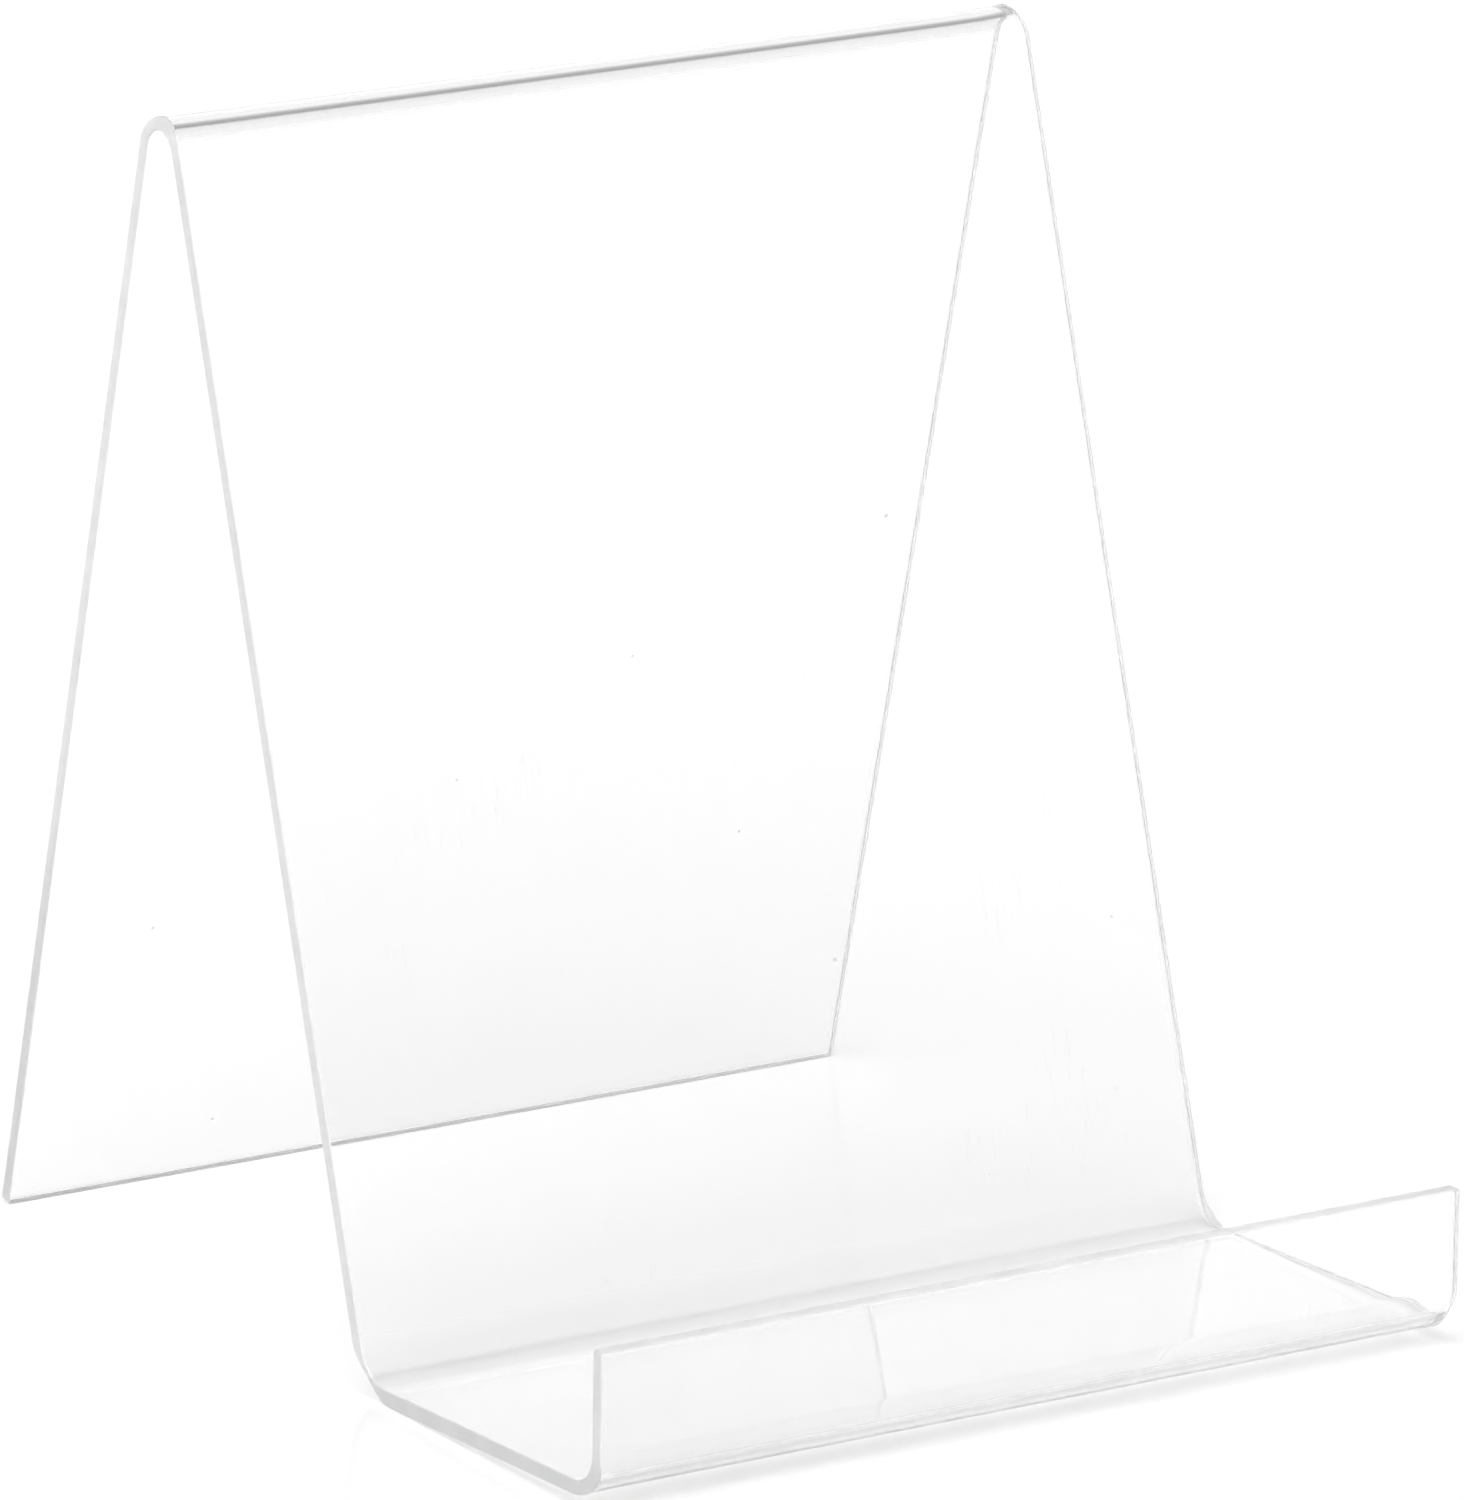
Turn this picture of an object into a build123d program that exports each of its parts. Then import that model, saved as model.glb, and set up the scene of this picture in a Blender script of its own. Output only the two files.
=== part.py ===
"""Clear acrylic display stand for a plate, a book or a small picture.

The stand is a single piece of cast acrylic sheet, heat-bent along three parallel lines:
rear leg, tight bend over the top, front panel, wide bend at the heel, ledge, bend at the
nose, lip. It has no fasteners, feet or moving parts.

Sizes are in millimetres. +X runs along the bends, -Y is the front and +Z is up. The origin
is on the table, under the middle of the stand's overall box. The stand rests on two lines:
the inner arris of the rear leg's cut edge, and the underside of the heel bend.
"""

import os
from math import cos, radians, sin

from build123d import *

# Driving dimensions of the sheet
width = 152.4  # 6 in, the length of every bend
sheet = 2.4  # 3/32 in
edge_round = 0.25  # broken arris all round the cut edge
corner_round = 0.6  # the blank's four corners, seen square to the sheet

# Lengths along the sheet's middle plane, from one sharp corner of its outline to the next
panel_length = 204.2  # top to heel
ledge_length = 66.3  # heel to nose
lip_length = 22.4  # nose to the lip's cut edge

# How far each flat leans: the leg, panel and lip from upright, the ledge from level
rear_lean = radians(14.2)
panel_lean = radians(17.0)
ledge_rise = radians(2.0)
lip_lean = radians(0.5)

# Inside radii of the bends
top_radius = 3.7
heel_radius = 8.2
nose_radius = 5.7

# Unit vectors along the flats in the side view, where the first number is Y and the second Z
up_rear_leg = Vector(-sin(rear_lean), cos(rear_lean))
down_panel = Vector(-sin(panel_lean), -cos(panel_lean))
out_ledge = Vector(-cos(ledge_rise), sin(ledge_rise))
up_lip = Vector(-sin(lip_lean), cos(lip_lean))

# The heel bend's outer face touches the table, so its centre is one outer radius up. The
# sharp corner of the middle line lies on the bisector of the bend's two flats.
heel_centre = Vector(0, heel_radius + sheet)
heel_bisector = (down_panel - out_ledge).normalized()
half_turn = radians(down_panel.get_angle(out_ledge) / 2)
heel_corner = heel_centre + heel_bisector * ((heel_radius + sheet / 2) / cos(half_turn))
top_corner = heel_corner - down_panel * panel_length
nose_corner = heel_corner + out_ledge * ledge_length
lip_end = nose_corner + up_lip * lip_length

# The rear leg is cut square, so only its inner arris reaches the table, and it is rounded
arris_lift = edge_round * (cos(rear_lean) + sin(rear_lean) - 1)
foot_height = sheet / 2 * sin(rear_lean) - arris_lift
rear_length = (top_corner.Y - foot_height) / cos(rear_lean)
foot_end = top_corner - up_rear_leg * rear_length

# Half the depth lies behind the origin and half in front of it
rearmost = foot_end.X + sheet / 2 * cos(rear_lean)
foremost = lip_end.X - sheet / 2 * cos(lip_lean)
left_end = (-width / 2, -(rearmost + foremost) / 2, 0)
side_view = Plane(origin=left_end, x_dir=(0, 1, 0), z_dir=(1, 0, 0))

with BuildPart() as bent_acrylic_sheet:
    with BuildSketch(side_view):
        with BuildLine() as middle_line:
            FilletPolyline(
                foot_end,
                top_corner,
                heel_corner,
                nose_corner,
                lip_end,
                radius=[radius + sheet / 2 for radius in (top_radius, heel_radius, nose_radius)],
            )
        trace(line_width=sheet)
    extrude(amount=width)

    # The blank's corners are the four edges that run through the thickness
    through_edges = bent_acrylic_sheet.edges().filter_by(lambda edge: edge.length < sheet * 1.01)
    fillet(through_edges, corner_round)

    # What is still sharp is the arris between each face of the sheet and its cut edge
    arrises = bent_acrylic_sheet.edges().filter_by(lambda edge: not edge.is_interior)
    fillet(arrises, edge_round)

bent_acrylic_sheet.part.label = "bent_acrylic_sheet"

os.makedirs("parts", exist_ok=True)
export_step(bent_acrylic_sheet.part, "parts/bent_acrylic_sheet.step")
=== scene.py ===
"""Looks of the clear acrylic display stand: one bent sheet, its materials, floor, light and camera.

Everything is in metres in the frame of the CAD model: +X along the bends, -Y the front and
+Z up. The sheet is made as a flat blank with rounded edges and then bent along its middle line.
"""

from math import acos, cos, radians, sin

import bpy
import numpy as np
from mathutils import Matrix, Vector


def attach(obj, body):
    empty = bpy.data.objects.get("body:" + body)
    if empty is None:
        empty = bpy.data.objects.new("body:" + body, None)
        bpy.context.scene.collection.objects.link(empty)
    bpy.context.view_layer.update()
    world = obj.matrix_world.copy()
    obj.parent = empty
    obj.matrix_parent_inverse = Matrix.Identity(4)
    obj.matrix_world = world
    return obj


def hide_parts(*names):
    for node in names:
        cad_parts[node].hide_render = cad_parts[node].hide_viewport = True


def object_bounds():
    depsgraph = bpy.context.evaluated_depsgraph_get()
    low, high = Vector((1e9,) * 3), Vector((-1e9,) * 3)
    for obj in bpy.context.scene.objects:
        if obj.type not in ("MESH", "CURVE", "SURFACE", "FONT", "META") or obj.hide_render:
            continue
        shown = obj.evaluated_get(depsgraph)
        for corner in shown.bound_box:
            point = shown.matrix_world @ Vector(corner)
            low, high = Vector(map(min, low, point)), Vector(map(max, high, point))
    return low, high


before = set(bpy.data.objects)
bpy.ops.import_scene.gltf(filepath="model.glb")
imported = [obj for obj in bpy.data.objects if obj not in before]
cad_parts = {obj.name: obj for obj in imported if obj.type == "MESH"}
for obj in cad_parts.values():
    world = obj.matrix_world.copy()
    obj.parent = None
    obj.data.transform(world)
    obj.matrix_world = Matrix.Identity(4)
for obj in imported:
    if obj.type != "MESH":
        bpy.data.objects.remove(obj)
cad_low, cad_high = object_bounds()

SHEET_NODE = "bent_acrylic_sheet"
MM = 0.001

# The sheet, as the CAD model has it
SHEET = 2.4 * MM
EDGE_ROUND = 0.25 * MM
CORNER_ROUND = 0.6 * MM
PANEL_LENGTH = 204.2 * MM
LEDGE_LENGTH = 66.3 * MM
LIP_LENGTH = 22.4 * MM
REAR_LEAN = radians(14.2)
PANEL_LEAN = radians(17.0)
LEDGE_RISE = radians(2.0)
LIP_LEAN = radians(0.5)
TOP_RADIUS = 3.7 * MM
HEEL_RADIUS = 8.2 * MM
NOSE_RADIUS = 5.7 * MM

# What line heating does to each bend: the sheet gets thinner from the inside, its middle sits
# a little in while its cut ends flare out to the full radius, and at those ends the stretched
# outside draws back while the inside swells
THINNING = 0.10
FLARE = 0.4 * MM
FLARE_REACH = 3.0 * MM
DRAW_BACK = 0.8 * MM
SWELL = 0.12 * MM
DRAW_REACH = 2.0 * MM

# How finely the blank is cut into faces
FLAT_STEP = 4 * MM
BEND_STEP = radians(2.5)
ACROSS_STEP = 6 * MM
END_ZONE = 6 * MM
END_STEP = 0.5 * MM
CORNER_STEP = CORNER_ROUND / 4
ARRIS_STEPS = 5

# Acrylic: its refractive index, what is left of light that passes a clean face, and the satin
# of a scraped cut edge, where part of the light is scattered instead of let through
ACRYLIC_IOR = 1.49
FACE_TINT = 0.965
EDGE_CLEAR = 0.78

# Dust and scratches on the faces: how dark and rough they are, how strong a scratch is next to
# dust, and the noise levels over which the patches with scratches set in
MARK_TINT = 0.6
MARK_ROUGHNESS = 0.4
SCRATCH_STRENGTH = 0.35
SCRATCH_PATCHES = (0.55, 0.65)

# The cut edge: tint and roughness from one end of the noise's range to the other, the scales of
# its marks and clouds along, across and through the sheet, and how deep the marks are
NOISE_RANGE = (0.3, 0.7)
EDGE_TINTS = (0.81, 0.89)
EDGE_ROUGHNESS = (0.29, 0.37)
MARKS_PER_MM = (1.5, 1.5, 0.1)
CLOUDS_PER_MM = (0.12, 0.12, 0.12)
RELIEF_STRENGTH = 0.3
RELIEF_DEPTH = 0.006 * MM

# The mesh attribute that holds each point's place on the flat blank, in millimetres
FLAT_PLACE = "flat_place"

# The table top: its size, its tones at the stand's front and TABLE_FADE metres behind the origin,
# which paint shade that is darkest at and before the stand's front and fades out behind, and its
# gloss
TABLE_SIZE = 12.0
TABLE_SHADE_TONES = (0.82, 0.95)
TABLE_FADE = 0.5
TABLE_ROUGHNESS = 0.06
TABLE_IOR = 1.45

# The studio: radiances of its parts, the heights over which they fade into each other, where the
# white sweep lies and over which cosines it sets in, and the key light with its soft rim
SWEEP = 1.05
SWEEP_FADES = (radians(15), radians(37))
SWEEP_TOWARDS = Vector((0.536, 0.844, 0))
SWEEP_SETS_IN = (-0.2, 0.75)
ROOM_FADES = (radians(37), radians(55))
ROOM_LOW = 0.62
ROOM_HIGH = 0.43
ROOM_TOP = 0.27
KEY = 4.0
KEY_FROM = Vector((-0.35, -0.45, 1.0))
KEY_EDGES = (radians(36), radians(22))

# The camera: lens and sensor in millimetres, then where it is as seen from its target, with the
# azimuth counted from the front (-Y) towards +X
LENS = 319.5816
SENSOR = 36.0
CAMERA_AZIMUTH = radians(-32.3974)
CAMERA_ELEVATION = radians(15.8353)
CAMERA_ROLL = radians(0.4071)
CAMERA_TARGET = Vector((0.0577488, 0.0878869, 0.0540378))
CAMERA_DISTANCE = 2.135082

# Enough for light that is guided along inside the sheet to come out again
LIGHT_BOUNCES = 128


# ---------------------------------------------------------------- the middle line of the sheet


def middle_line():
    """The side view's corners (y, z) from the rear leg's foot to the lip's cut edge."""
    up_leg = np.array([-sin(REAR_LEAN), cos(REAR_LEAN)])
    down_panel = np.array([-sin(PANEL_LEAN), -cos(PANEL_LEAN)])
    out_ledge = np.array([-cos(LEDGE_RISE), sin(LEDGE_RISE)])
    up_lip = np.array([-sin(LIP_LEAN), cos(LIP_LEAN)])
    bisector = (down_panel - out_ledge) / np.linalg.norm(down_panel - out_ledge)
    half_turn = acos(down_panel @ out_ledge) / 2
    heel_centre = np.array([0, HEEL_RADIUS + SHEET])
    heel = heel_centre + bisector * (HEEL_RADIUS + SHEET / 2) / cos(half_turn)
    top = heel - down_panel * PANEL_LENGTH
    nose = heel + out_ledge * LEDGE_LENGTH
    lip_end = nose + up_lip * LIP_LENGTH
    arris_lift = EDGE_ROUND * (cos(REAR_LEAN) + sin(REAR_LEAN) - 1)
    foot_height = SHEET / 2 * sin(REAR_LEAN) - arris_lift
    foot = top - up_leg * (top[1] - foot_height) / cos(REAR_LEAN)
    rearmost = foot[0] + SHEET / 2 * cos(REAR_LEAN)
    foremost = lip_end[0] - SHEET / 2 * cos(LIP_LEAN)
    middle = (rearmost + foremost) / 2
    return np.array([foot, top, heel, nose, lip_end]) - np.array([middle, 0])


class Stretch:
    """One flat or one bend of the middle line: where it starts, its heading and how it turns."""

    def __init__(self, begin, start, heading, length, turn=0.0):
        self.begin, self.start, self.heading = begin, start, heading
        self.length, self.turn = length, turn

    def at(self, s):
        """Positions and headings (as angles) at distances s along the whole line."""
        share = (s - self.begin) / self.length
        angle = self.heading + self.turn * share
        if not self.turn:
            along = (s - self.begin)[:, None]
            return self.start + along * np.array([cos(self.heading), sin(self.heading)]), angle
        radius = self.length / self.turn
        chord = [np.sin(angle) - sin(self.heading), cos(self.heading) - np.cos(angle)]
        return self.start + radius * np.stack(chord, axis=1), angle


def stretches():
    """The flats and bends in order, from the foot to the lip's cut edge."""
    corners = middle_line()
    radii = [inside + SHEET / 2 for inside in (TOP_RADIUS, HEEL_RADIUS, NOSE_RADIUS)]
    runs = np.diff(corners, axis=0)
    headings = np.unwrap(np.arctan2(runs[:, 1], runs[:, 0]))
    turns = np.diff(headings)
    cut_off = [radius * abs(np.tan(turn / 2)) for radius, turn in zip(radii, turns)]
    trims = [0.0] + cut_off + [0.0]
    made, begin = [], 0.0
    for i, run in enumerate(runs):
        unit = run / np.linalg.norm(run)
        start = corners[i] + unit * trims[i]
        length = np.linalg.norm(run) - trims[i] - trims[i + 1]
        made.append(Stretch(begin, start, headings[i], length))
        begin += length
        if i < len(turns):
            arc = radii[i] * abs(turns[i])
            made.append(Stretch(begin, start + unit * length, headings[i], arc, turns[i]))
            begin += arc
    return made


LINE = stretches()
BENDS = [part for part in LINE if part.turn]
LINE_LENGTH = LINE[-1].begin + LINE[-1].length
WIDTH = cad_high.x - cad_low.x


def place(s, x, t):
    """Blank coordinates to space: s along the middle line, x across, t through the sheet."""
    points, angles = np.zeros((len(s), 2)), np.zeros(len(s))
    for part in LINE:
        inside = (s >= part.begin) if part is not LINE[0] else np.ones(len(s), bool)
        points[inside], angles[inside] = part.at(s[inside])
    normal = np.stack([np.sin(angles), -np.cos(angles)], axis=1)
    from_end = WIDTH / 2 - np.abs(x)
    outward, shift = np.zeros(len(s)), np.zeros(len(s))
    for part in BENDS:
        share = np.clip((s - part.begin) / part.length, 0, 1)
        bump = np.sin(np.pi * share) ** 2
        side = np.sign(part.turn)
        end = bump * np.exp(-from_end / DRAW_REACH)
        outward += side * bump * FLARE * (np.exp(-from_end / FLARE_REACH) - 1)
        outward += bump * THINNING * (side * SHEET / 2 - t)
        outside = 0.5 + t * side / SHEET
        shift += end * (DRAW_BACK * outside - SWELL * (1 - outside))
    side_view = points + normal * (t + outward)[:, None]
    return np.column_stack([x - np.sign(x) * shift, side_view])


# ---------------------------------------------------------------- the flat blank


def graded(length, parts):
    """Places along a length, from (end, step) pairs: equal steps of about step up to each end."""
    places, at = [0.0], 0.0
    for end, step in parts:
        count = max(1, round((end - at) / step))
        places += [at + (end - at) * (k + 1) / count for k in range(count)]
        at = end
    return np.array(places) * (length / places[-1])


def along_places():
    """Where the blank is cut along its length: coarse on the flats, fine in the bends."""
    parts = [(CORNER_ROUND, CORNER_STEP)]
    for part in LINE:
        end = part.begin + part.length
        if part is LINE[-1]:
            end -= CORNER_ROUND
        step = abs(part.length / (part.turn / BEND_STEP)) if part.turn else FLAT_STEP
        parts.append((end, step))
    parts.append((LINE_LENGTH, CORNER_STEP))
    return graded(LINE_LENGTH, parts)


def across_places():
    """Where the blank is cut across its width: fine at the two cut ends, coarse between."""
    parts = [(CORNER_ROUND, CORNER_STEP), (END_ZONE, END_STEP), (WIDTH - END_ZONE, ACROSS_STEP)]
    parts += [(WIDTH - CORNER_ROUND, END_STEP), (WIDTH, CORNER_STEP)]
    return graded(WIDTH, parts) - WIDTH / 2


def inset_outline(s, x, inset):
    """Grid points pulled in by inset all round, with the blank's rounded corners."""
    half_s, half_x = LINE_LENGTH / 2, WIDTH / 2
    centred = s - half_s
    core_s, core_x = half_s - CORNER_ROUND, half_x - CORNER_ROUND
    out_s = np.clip((np.abs(centred) - core_s) / CORNER_ROUND, 0, 1)
    out_x = np.clip((np.abs(x) - core_x) / CORNER_ROUND, 0, 1)
    radius = CORNER_ROUND - inset
    new_s = np.minimum(np.abs(centred), core_s) + radius * out_s * np.sqrt(1 - out_x**2 / 2)
    new_x = np.minimum(np.abs(x), core_x) + radius * out_x * np.sqrt(1 - out_s**2 / 2)
    return np.sign(centred) * new_s + half_s, np.sign(x) * new_x


def outline_loop(rows, columns):
    """Numbers of the grid points on the blank's outline, once round."""
    loop = [(i, 0) for i in range(rows)]
    loop += [(rows - 1, j) for j in range(1, columns)]
    loop += [(i, columns - 1) for i in range(rows - 2, -1, -1)]
    loop += [(0, j) for j in range(columns - 2, 0, -1)]
    return np.array([i * columns + j for i, j in loop])


def face_quads(rows, columns):
    """The quads of the two faces, whose points are numbered one face after the other."""
    other = rows * columns
    quads = []
    for i in range(rows - 1):
        for j in range(columns - 1):
            a = i * columns + j
            b, c, d = a + columns, a + columns + 1, a + 1
            quads.append((a, b, c, d))
            quads.append((a + other, d + other, c + other, b + other))
    return quads


def arris_rings():
    """(inset, height) of each ring round the cut edge, from one face to the other."""
    turn = np.linspace(0, np.pi / 2, ARRIS_STEPS + 1)
    insets = (EDGE_ROUND * (1 - np.sin(turn)))[1:]
    heights = (SHEET / 2 - EDGE_ROUND * (1 - np.cos(turn)))[1:]
    return list(zip(insets, heights)) + list(zip(insets[::-1], -heights[::-1]))


def between(ring, following):
    """The quads between two closed rings of points."""
    return list(zip(ring, following, np.roll(following, -1), np.roll(ring, -1)))


def blank():
    """Vertices (s, x, t), quads and a mark on each quad: 0 for the two faces, 1 for the cut edge."""
    along, across = along_places(), across_places()
    rows, columns = len(along), len(across)
    count = rows * columns
    grid_s, grid_x = (grid.ravel() for grid in np.meshgrid(along, across, indexing="ij"))
    loop = outline_loop(rows, columns)

    vertices = []
    face_s, face_x = inset_outline(grid_s, grid_x, EDGE_ROUND)
    for height in (SHEET / 2, -SHEET / 2):
        vertices.append(np.column_stack([face_s, face_x, np.full(count, height)]))
    quads = face_quads(rows, columns)
    marks = [0] * len(quads)

    previous, total = loop, 2 * count
    for inset, height in arris_rings():
        ring_s, ring_x = inset_outline(grid_s[loop], grid_x[loop], inset)
        vertices.append(np.column_stack([ring_s, ring_x, np.full(len(loop), height)]))
        ring = np.arange(total, total + len(loop))
        total += len(loop)
        quads += between(previous, ring)
        previous = ring
    quads += between(previous, loop + count)
    marks += [1] * (len(quads) - len(marks))
    return np.concatenate(vertices), np.array(quads), np.array(marks)


def sheet_object():
    """The bent sheet as a mesh object."""
    flat, quads, marks = blank()
    bent = place(flat[:, 0], flat[:, 1], flat[:, 2])
    mesh = bpy.data.meshes.new("acrylic_sheet")
    mesh.from_pydata(bent.tolist(), [], quads.tolist())
    mesh.update()
    mesh.polygons.foreach_set("material_index", marks.astype(np.int32))
    mesh.polygons.foreach_set("use_smooth", np.ones(len(quads), bool))
    place_mark = mesh.attributes.new(FLAT_PLACE, "FLOAT_VECTOR", "POINT")
    place_mark.data.foreach_set("vector", (flat / MM).astype(np.float32).ravel())
    sheet = bpy.data.objects.new("acrylic_sheet", mesh)
    bpy.context.scene.collection.objects.link(sheet)
    return sheet


# ---------------------------------------------------------------- shader nodes


def node(tree, kind, links=None, **settings):
    """Adds a shader node, sets its properties and feeds its inputs, which go by name or number."""
    made = tree.nodes.new(kind)
    for name, value in settings.items():
        setattr(made, name, value)
    for name, value in (links or {}).items():
        if isinstance(value, bpy.types.NodeSocket):
            tree.links.new(value, made.inputs[name])
        else:
            made.inputs[name].default_value = value
    return made


def ramp(tree, value, low, high, out_low, out_high):
    """A smooth step of value from low to high, as numbers from out_low to out_high."""
    limits = {"From Min": low, "From Max": high, "To Min": out_low, "To Max": out_high}
    inputs = {"Value": value, **limits}
    made = node(tree, "ShaderNodeMapRange", inputs, interpolation_type="SMOOTHSTEP")
    return made.outputs["Result"]


def arithmetic(tree, operation, *values):
    """One arithmetic step on numbers or sockets."""
    made = node(tree, "ShaderNodeMath", dict(enumerate(values)), operation=operation)
    return made.outputs["Value"]


def grey(tree, value):
    """A grey of the given level."""
    made = node(tree, "ShaderNodeCombineColor", {"Red": value, "Green": value, "Blue": value})
    return made.outputs["Color"]


def toward(tree, direction, axis):
    """The cosine of the angle between a direction and an axis."""
    made = node(tree, "ShaderNodeVectorMath", {0: direction, 1: axis}, operation="DOT_PRODUCT")
    return made.outputs["Value"]


def noise(tree, place, per_mm):
    """Noise from 0 to 1 with its own scale along, across and through the sheet."""
    scaled = node(tree, "ShaderNodeVectorMath", {0: place, 1: per_mm}, operation="MULTIPLY")
    inputs = {"Vector": scaled.outputs["Vector"], "Scale": 1.0, "Detail": 2.0}
    return node(tree, "ShaderNodeTexNoise", inputs).outputs[0]


def specks(tree, place, spacing, share, largest):
    """Round specks: a share of the cells, spacing mm wide, holds one of up to largest mm radius."""
    cells = node(tree, "ShaderNodeTexVoronoi", {"Vector": place, "Scale": 1 / spacing})
    lots = node(tree, "ShaderNodeSeparateColor", {"Color": cells.outputs["Color"]})
    kept = arithmetic(tree, "LESS_THAN", lots.outputs["Red"], share)
    radius = arithmetic(tree, "MULTIPLY", lots.outputs["Green"], largest / spacing)
    inside = arithmetic(tree, "LESS_THAN", cells.outputs["Distance"], radius)
    return arithmetic(tree, "MULTIPLY", kept, inside)


def hairlines(tree, place, per_mm, width, patch_size):
    """Fine scratches: where a stretched noise is within width of its middle, in patches only."""
    off_middle = arithmetic(tree, "SUBTRACT", noise(tree, place, per_mm), 0.5)
    lines = ramp(tree, arithmetic(tree, "ABSOLUTE", off_middle), 0, width, 1, 0)
    patches = ramp(tree, noise(tree, place, (1 / patch_size,) * 3), *SCRATCH_PATCHES, 0, 1)
    return arithmetic(tree, "MULTIPLY", lines, patches)


# ---------------------------------------------------------------- materials


def acrylic(name, clear):
    """A new acrylic that transmits the share clear: the material, its tree, shader and flat place."""
    material = bpy.data.materials.new(name)
    material.use_nodes = True
    tree = material.node_tree
    shader = tree.nodes["Principled BSDF"]
    shader.inputs["Transmission Weight"].default_value = clear
    shader.inputs["IOR"].default_value = ACRYLIC_IOR
    place = node(tree, "ShaderNodeAttribute", attribute_name=FLAT_PLACE).outputs["Vector"]
    return material, tree, shader, place


def face_acrylic():
    """The sheet's two glossy faces, with a little dust and a few hairline scratches from handling."""
    material, tree, shader, place = acrylic("acrylic_face", clear=1.0)
    dust = specks(tree, place, spacing=9.0, share=0.12, largest=0.45)
    scratches = hairlines(tree, place, per_mm=(0.02, 0.35, 0.35), width=0.004, patch_size=35.0)
    scratches = arithmetic(tree, "MULTIPLY", scratches, SCRATCH_STRENGTH)
    marks = arithmetic(tree, "MAXIMUM", dust, scratches)
    tint = ramp(tree, marks, 0, 1, FACE_TINT, MARK_TINT)
    tree.links.new(grey(tree, tint), shader.inputs["Base Color"])
    tree.links.new(ramp(tree, marks, 0, 1, 0.0, MARK_ROUGHNESS), shader.inputs["Roughness"])
    return material


def cut_edge_acrylic():
    """The scraped cut edge: satin, with fine marks that run through the thickness of the sheet."""
    material, tree, shader, place = acrylic("acrylic_cut_edge", EDGE_CLEAR)
    marks = noise(tree, place, MARKS_PER_MM)
    clouds = noise(tree, place, CLOUDS_PER_MM)
    tint = ramp(tree, clouds, *NOISE_RANGE, *EDGE_TINTS)
    tree.links.new(grey(tree, tint), shader.inputs["Base Color"])
    roughness = ramp(tree, marks, *NOISE_RANGE, *EDGE_ROUGHNESS)
    tree.links.new(roughness, shader.inputs["Roughness"])
    bump = {"Height": marks, "Strength": RELIEF_STRENGTH, "Distance": RELIEF_DEPTH}
    relief = node(tree, "ShaderNodeBump", bump)
    tree.links.new(relief.outputs["Normal"], shader.inputs["Normal"])
    return material


def floor_material():
    """A pale table top with painted shade: darkest at and before the stand's front, paler towards the
    back.
    """
    material = bpy.data.materials.new("pale_table")
    material.use_nodes = True
    tree = material.node_tree
    shader = tree.nodes["Principled BSDF"]
    place = node(tree, "ShaderNodeTexCoord").outputs["Object"]
    depth = node(tree, "ShaderNodeSeparateXYZ", {"Vector": place}).outputs["Y"]
    # Painted shade: the table's tone is darkest at and before the stand's front and fades out towards
    # the back
    shade_tone = ramp(tree, depth, cad_low.y, TABLE_FADE, *TABLE_SHADE_TONES)
    tree.links.new(grey(tree, shade_tone), shader.inputs["Base Color"])
    shader.inputs["Roughness"].default_value = TABLE_ROUGHNESS
    shader.inputs["IOR"].default_value = TABLE_IOR
    return material


# ---------------------------------------------------------------- stage


def floor_object():
    """The table top under the stand, which isn't part of the object."""
    mesh = bpy.data.meshes.new("floor")
    half = TABLE_SIZE / 2
    corners = [(-half, -half, 0), (half, -half, 0), (half, half, 0), (-half, half, 0)]
    mesh.from_pydata(corners, [], [(0, 1, 2, 3)])
    floor = bpy.data.objects.new("floor", mesh)
    floor.data.materials.append(floor_material())
    bpy.context.scene.collection.objects.link(floor)


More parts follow.
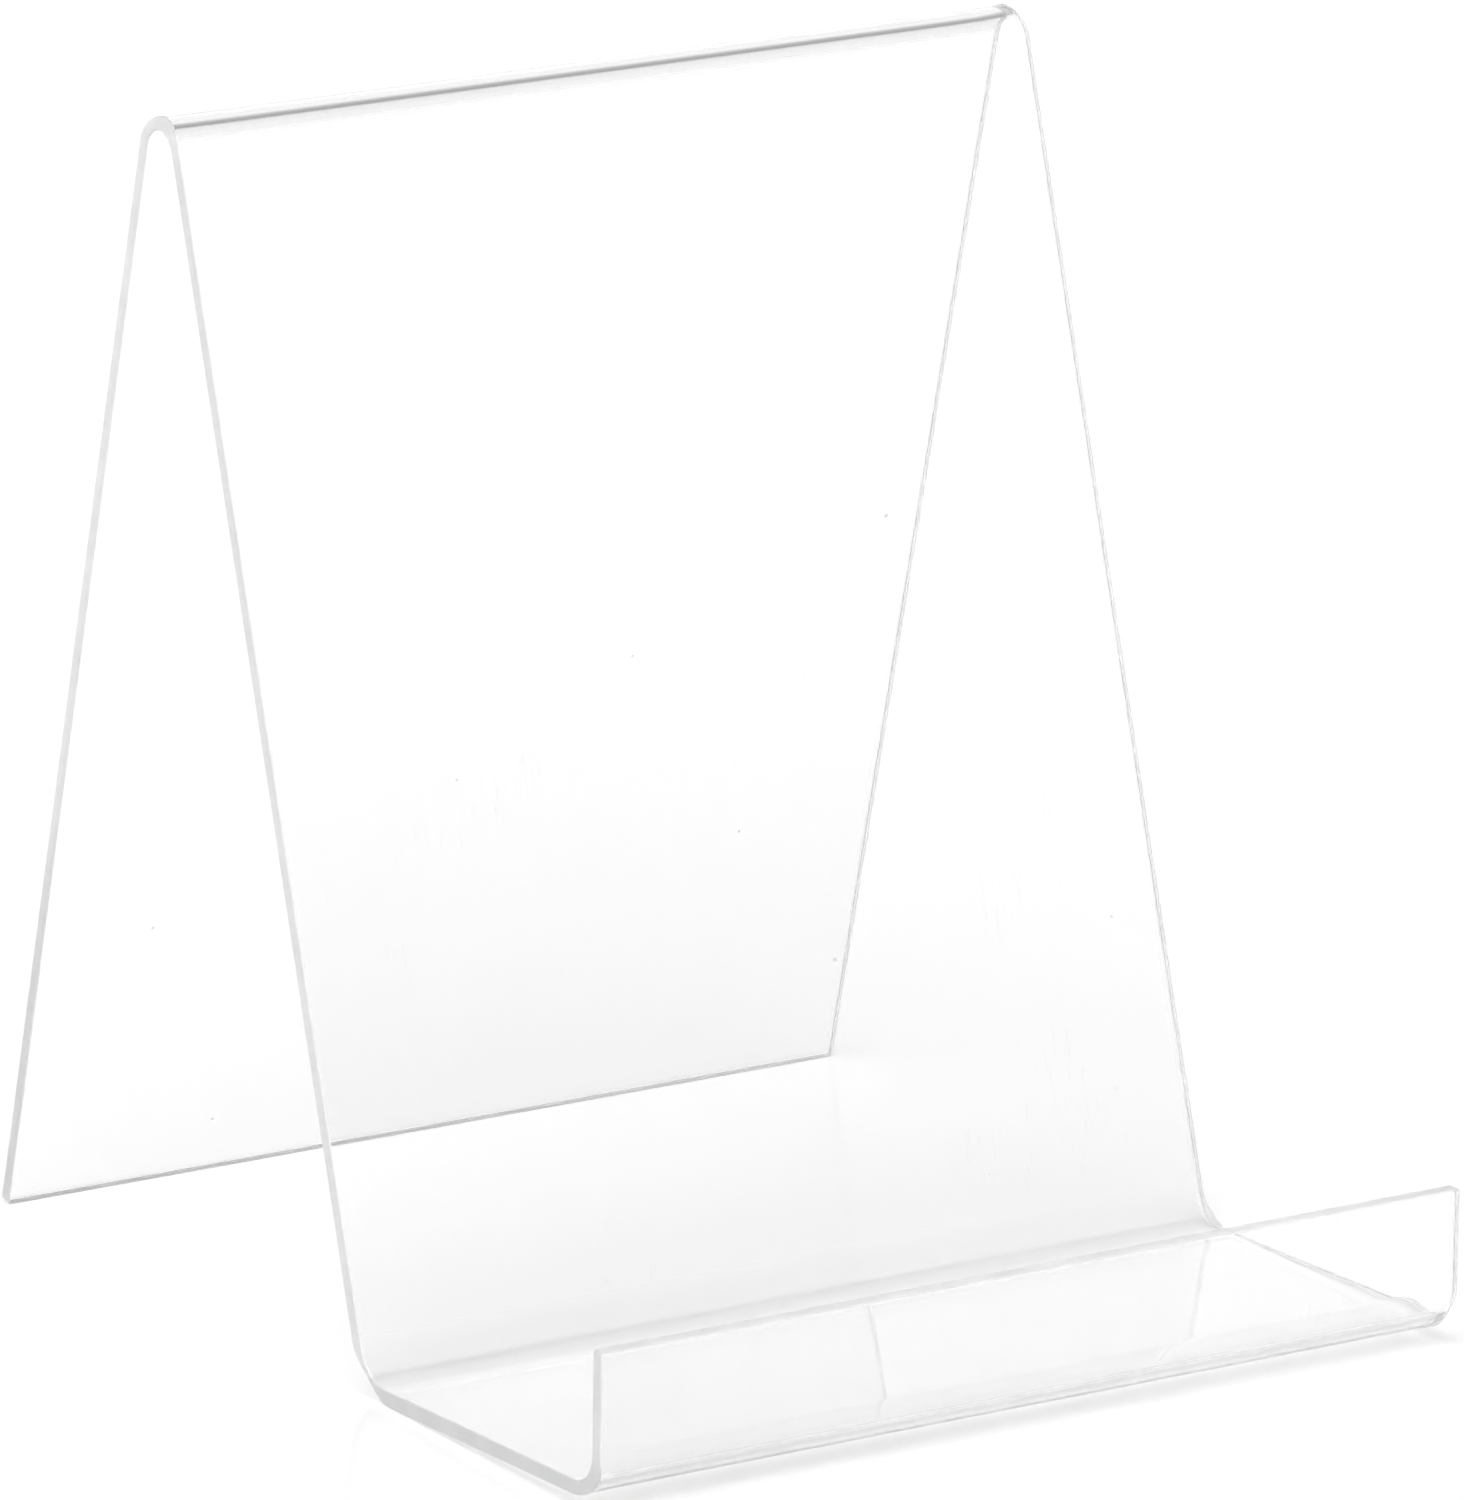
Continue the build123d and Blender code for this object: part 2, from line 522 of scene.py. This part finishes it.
def studio_world():
    """A white sweep behind, a dimmer room in front and overhead, and a big soft light above."""
    world = bpy.data.worlds.new("studio")
    world.use_nodes = True
    tree = world.node_tree
    direction = node(tree, "ShaderNodeTexCoord").outputs["Generated"]
    height = toward(tree, direction, (0, 0, 1))
    behind = toward(tree, direction, SWEEP_TOWARDS)
    low = ramp(tree, behind, *SWEEP_SETS_IN, ROOM_LOW, SWEEP)
    climb = ramp(tree, height, sin(SWEEP_FADES[0]), sin(SWEEP_FADES[1]), 0, 1)
    room = ramp(tree, height, sin(ROOM_FADES[0]), sin(ROOM_FADES[1]), ROOM_HIGH, ROOM_TOP)
    levels = {"Factor": climb, "A": low, "B": room}
    surround = node(tree, "ShaderNodeMix", levels, data_type="FLOAT").outputs["Result"]
    toward_key = toward(tree, direction, KEY_FROM.normalized())
    key = ramp(tree, toward_key, cos(KEY_EDGES[0]), cos(KEY_EDGES[1]), 0, KEY)
    total = arithmetic(tree, "ADD", surround, key)
    tree.links.new(total, tree.nodes["Background"].inputs["Color"])
    bpy.context.scene.world = world


def camera():
    """A long lens from the front left and above, far enough for a nearly parallel view."""
    data = bpy.data.cameras.new("camera")
    view = bpy.data.objects.new("camera", data)
    bpy.context.scene.collection.objects.link(view)
    bpy.context.scene.camera = view
    data.sensor_width = SENSOR
    data.lens = LENS
    data.clip_start, data.clip_end = 0.05, 50
    aside, ahead = sin(CAMERA_AZIMUTH), cos(CAMERA_AZIMUTH)
    level, height = cos(CAMERA_ELEVATION), sin(CAMERA_ELEVATION)
    back = Vector((aside * level, -ahead * level, height))
    view.location = CAMERA_TARGET + back * CAMERA_DISTANCE
    upright = (-back).to_track_quat("-Z", "Y")
    roll = Matrix.Rotation(CAMERA_ROLL, 3, "Z").to_quaternion()
    view.rotation_mode = "QUATERNION"
    view.rotation_quaternion = upright @ roll


sheet = sheet_object()
sheet.data.materials.append(face_acrylic())
sheet.data.materials.append(cut_edge_acrylic())
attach(sheet, "root")
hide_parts(SHEET_NODE)
floor_object()
studio_world()
camera()

scene = bpy.context.scene
scene.view_settings.view_transform = "Standard"
scene.cycles.max_bounces = LIGHT_BOUNCES
scene.cycles.transmission_bounces = LIGHT_BOUNCES
scene.cycles.glossy_bounces = LIGHT_BOUNCES
scene.cycles.blur_glossy = 0.0
